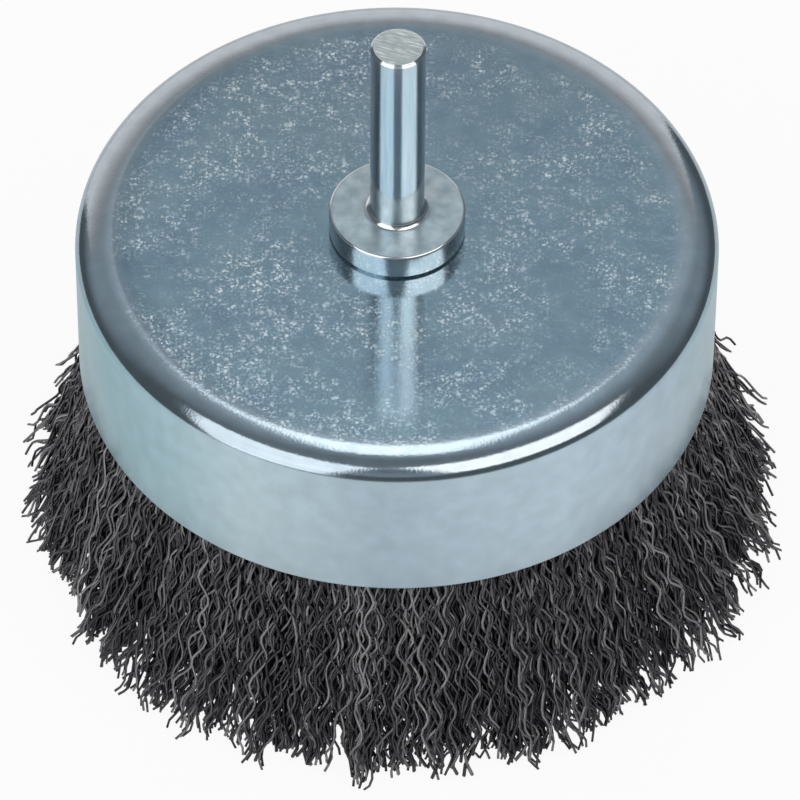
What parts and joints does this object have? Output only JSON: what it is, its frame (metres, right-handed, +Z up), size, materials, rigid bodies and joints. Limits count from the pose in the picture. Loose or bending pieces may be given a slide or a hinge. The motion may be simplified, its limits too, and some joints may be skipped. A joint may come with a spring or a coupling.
{
  "type": "wire cup brush",
  "caption": "Crimped steel wire cup brush: a drawn zinc-plated cup with a flared ring of wire below it and a round shank for a drill chuck.",
  "frame": {"origin": "centre of the trim plane, where the wire ends rest", "axes": "+Z up along the shank; the brush is round about Z"},
  "size_m": [0.0858, 0.0854, 0.0733],
  "materials": {
    "zinc_plated_sheet": "drawn sheet steel, bright zinc plated with a pale blue passivate",
    "turned_steel": "turned steel, bright zinc plated, satin",
    "plain_steel": "plain rolled steel strip",
    "crimped_steel_wire": "drawn and crimped carbon steel wire, dark, with bright crests"
  },
  "bodies": {
    "root": {"cup": "zinc_plated_sheet", "inner_cup": "zinc_plated_sheet", "shank": "turned_steel", "retaining_ring": "plain_steel", "outer_wires": "crimped_steel_wire", "wire_hank_01": "crimped_steel_wire", "wire_hank_02": "crimped_steel_wire", "wire_hank_03": "crimped_steel_wire", "wire_hank_04": "crimped_steel_wire", "wire_hank_05": "crimped_steel_wire", "wire_hank_06": "crimped_steel_wire", "wire_hank_07": "crimped_steel_wire", "wire_hank_08": "crimped_steel_wire", "wire_hank_09": "crimped_steel_wire", "wire_hank_10": "crimped_steel_wire", "wire_hank_11": "crimped_steel_wire", "wire_hank_12": "crimped_steel_wire", "wire_hank_13": "crimped_steel_wire", "wire_hank_14": "crimped_steel_wire", "wire_hank_15": "crimped_steel_wire", "wire_hank_16": "crimped_steel_wire", "wire_hank_17": "crimped_steel_wire", "wire_hank_18": "crimped_steel_wire", "wire_hank_19": "crimped_steel_wire", "wire_hank_20": "crimped_steel_wire"}
  },
  "joints": []
}
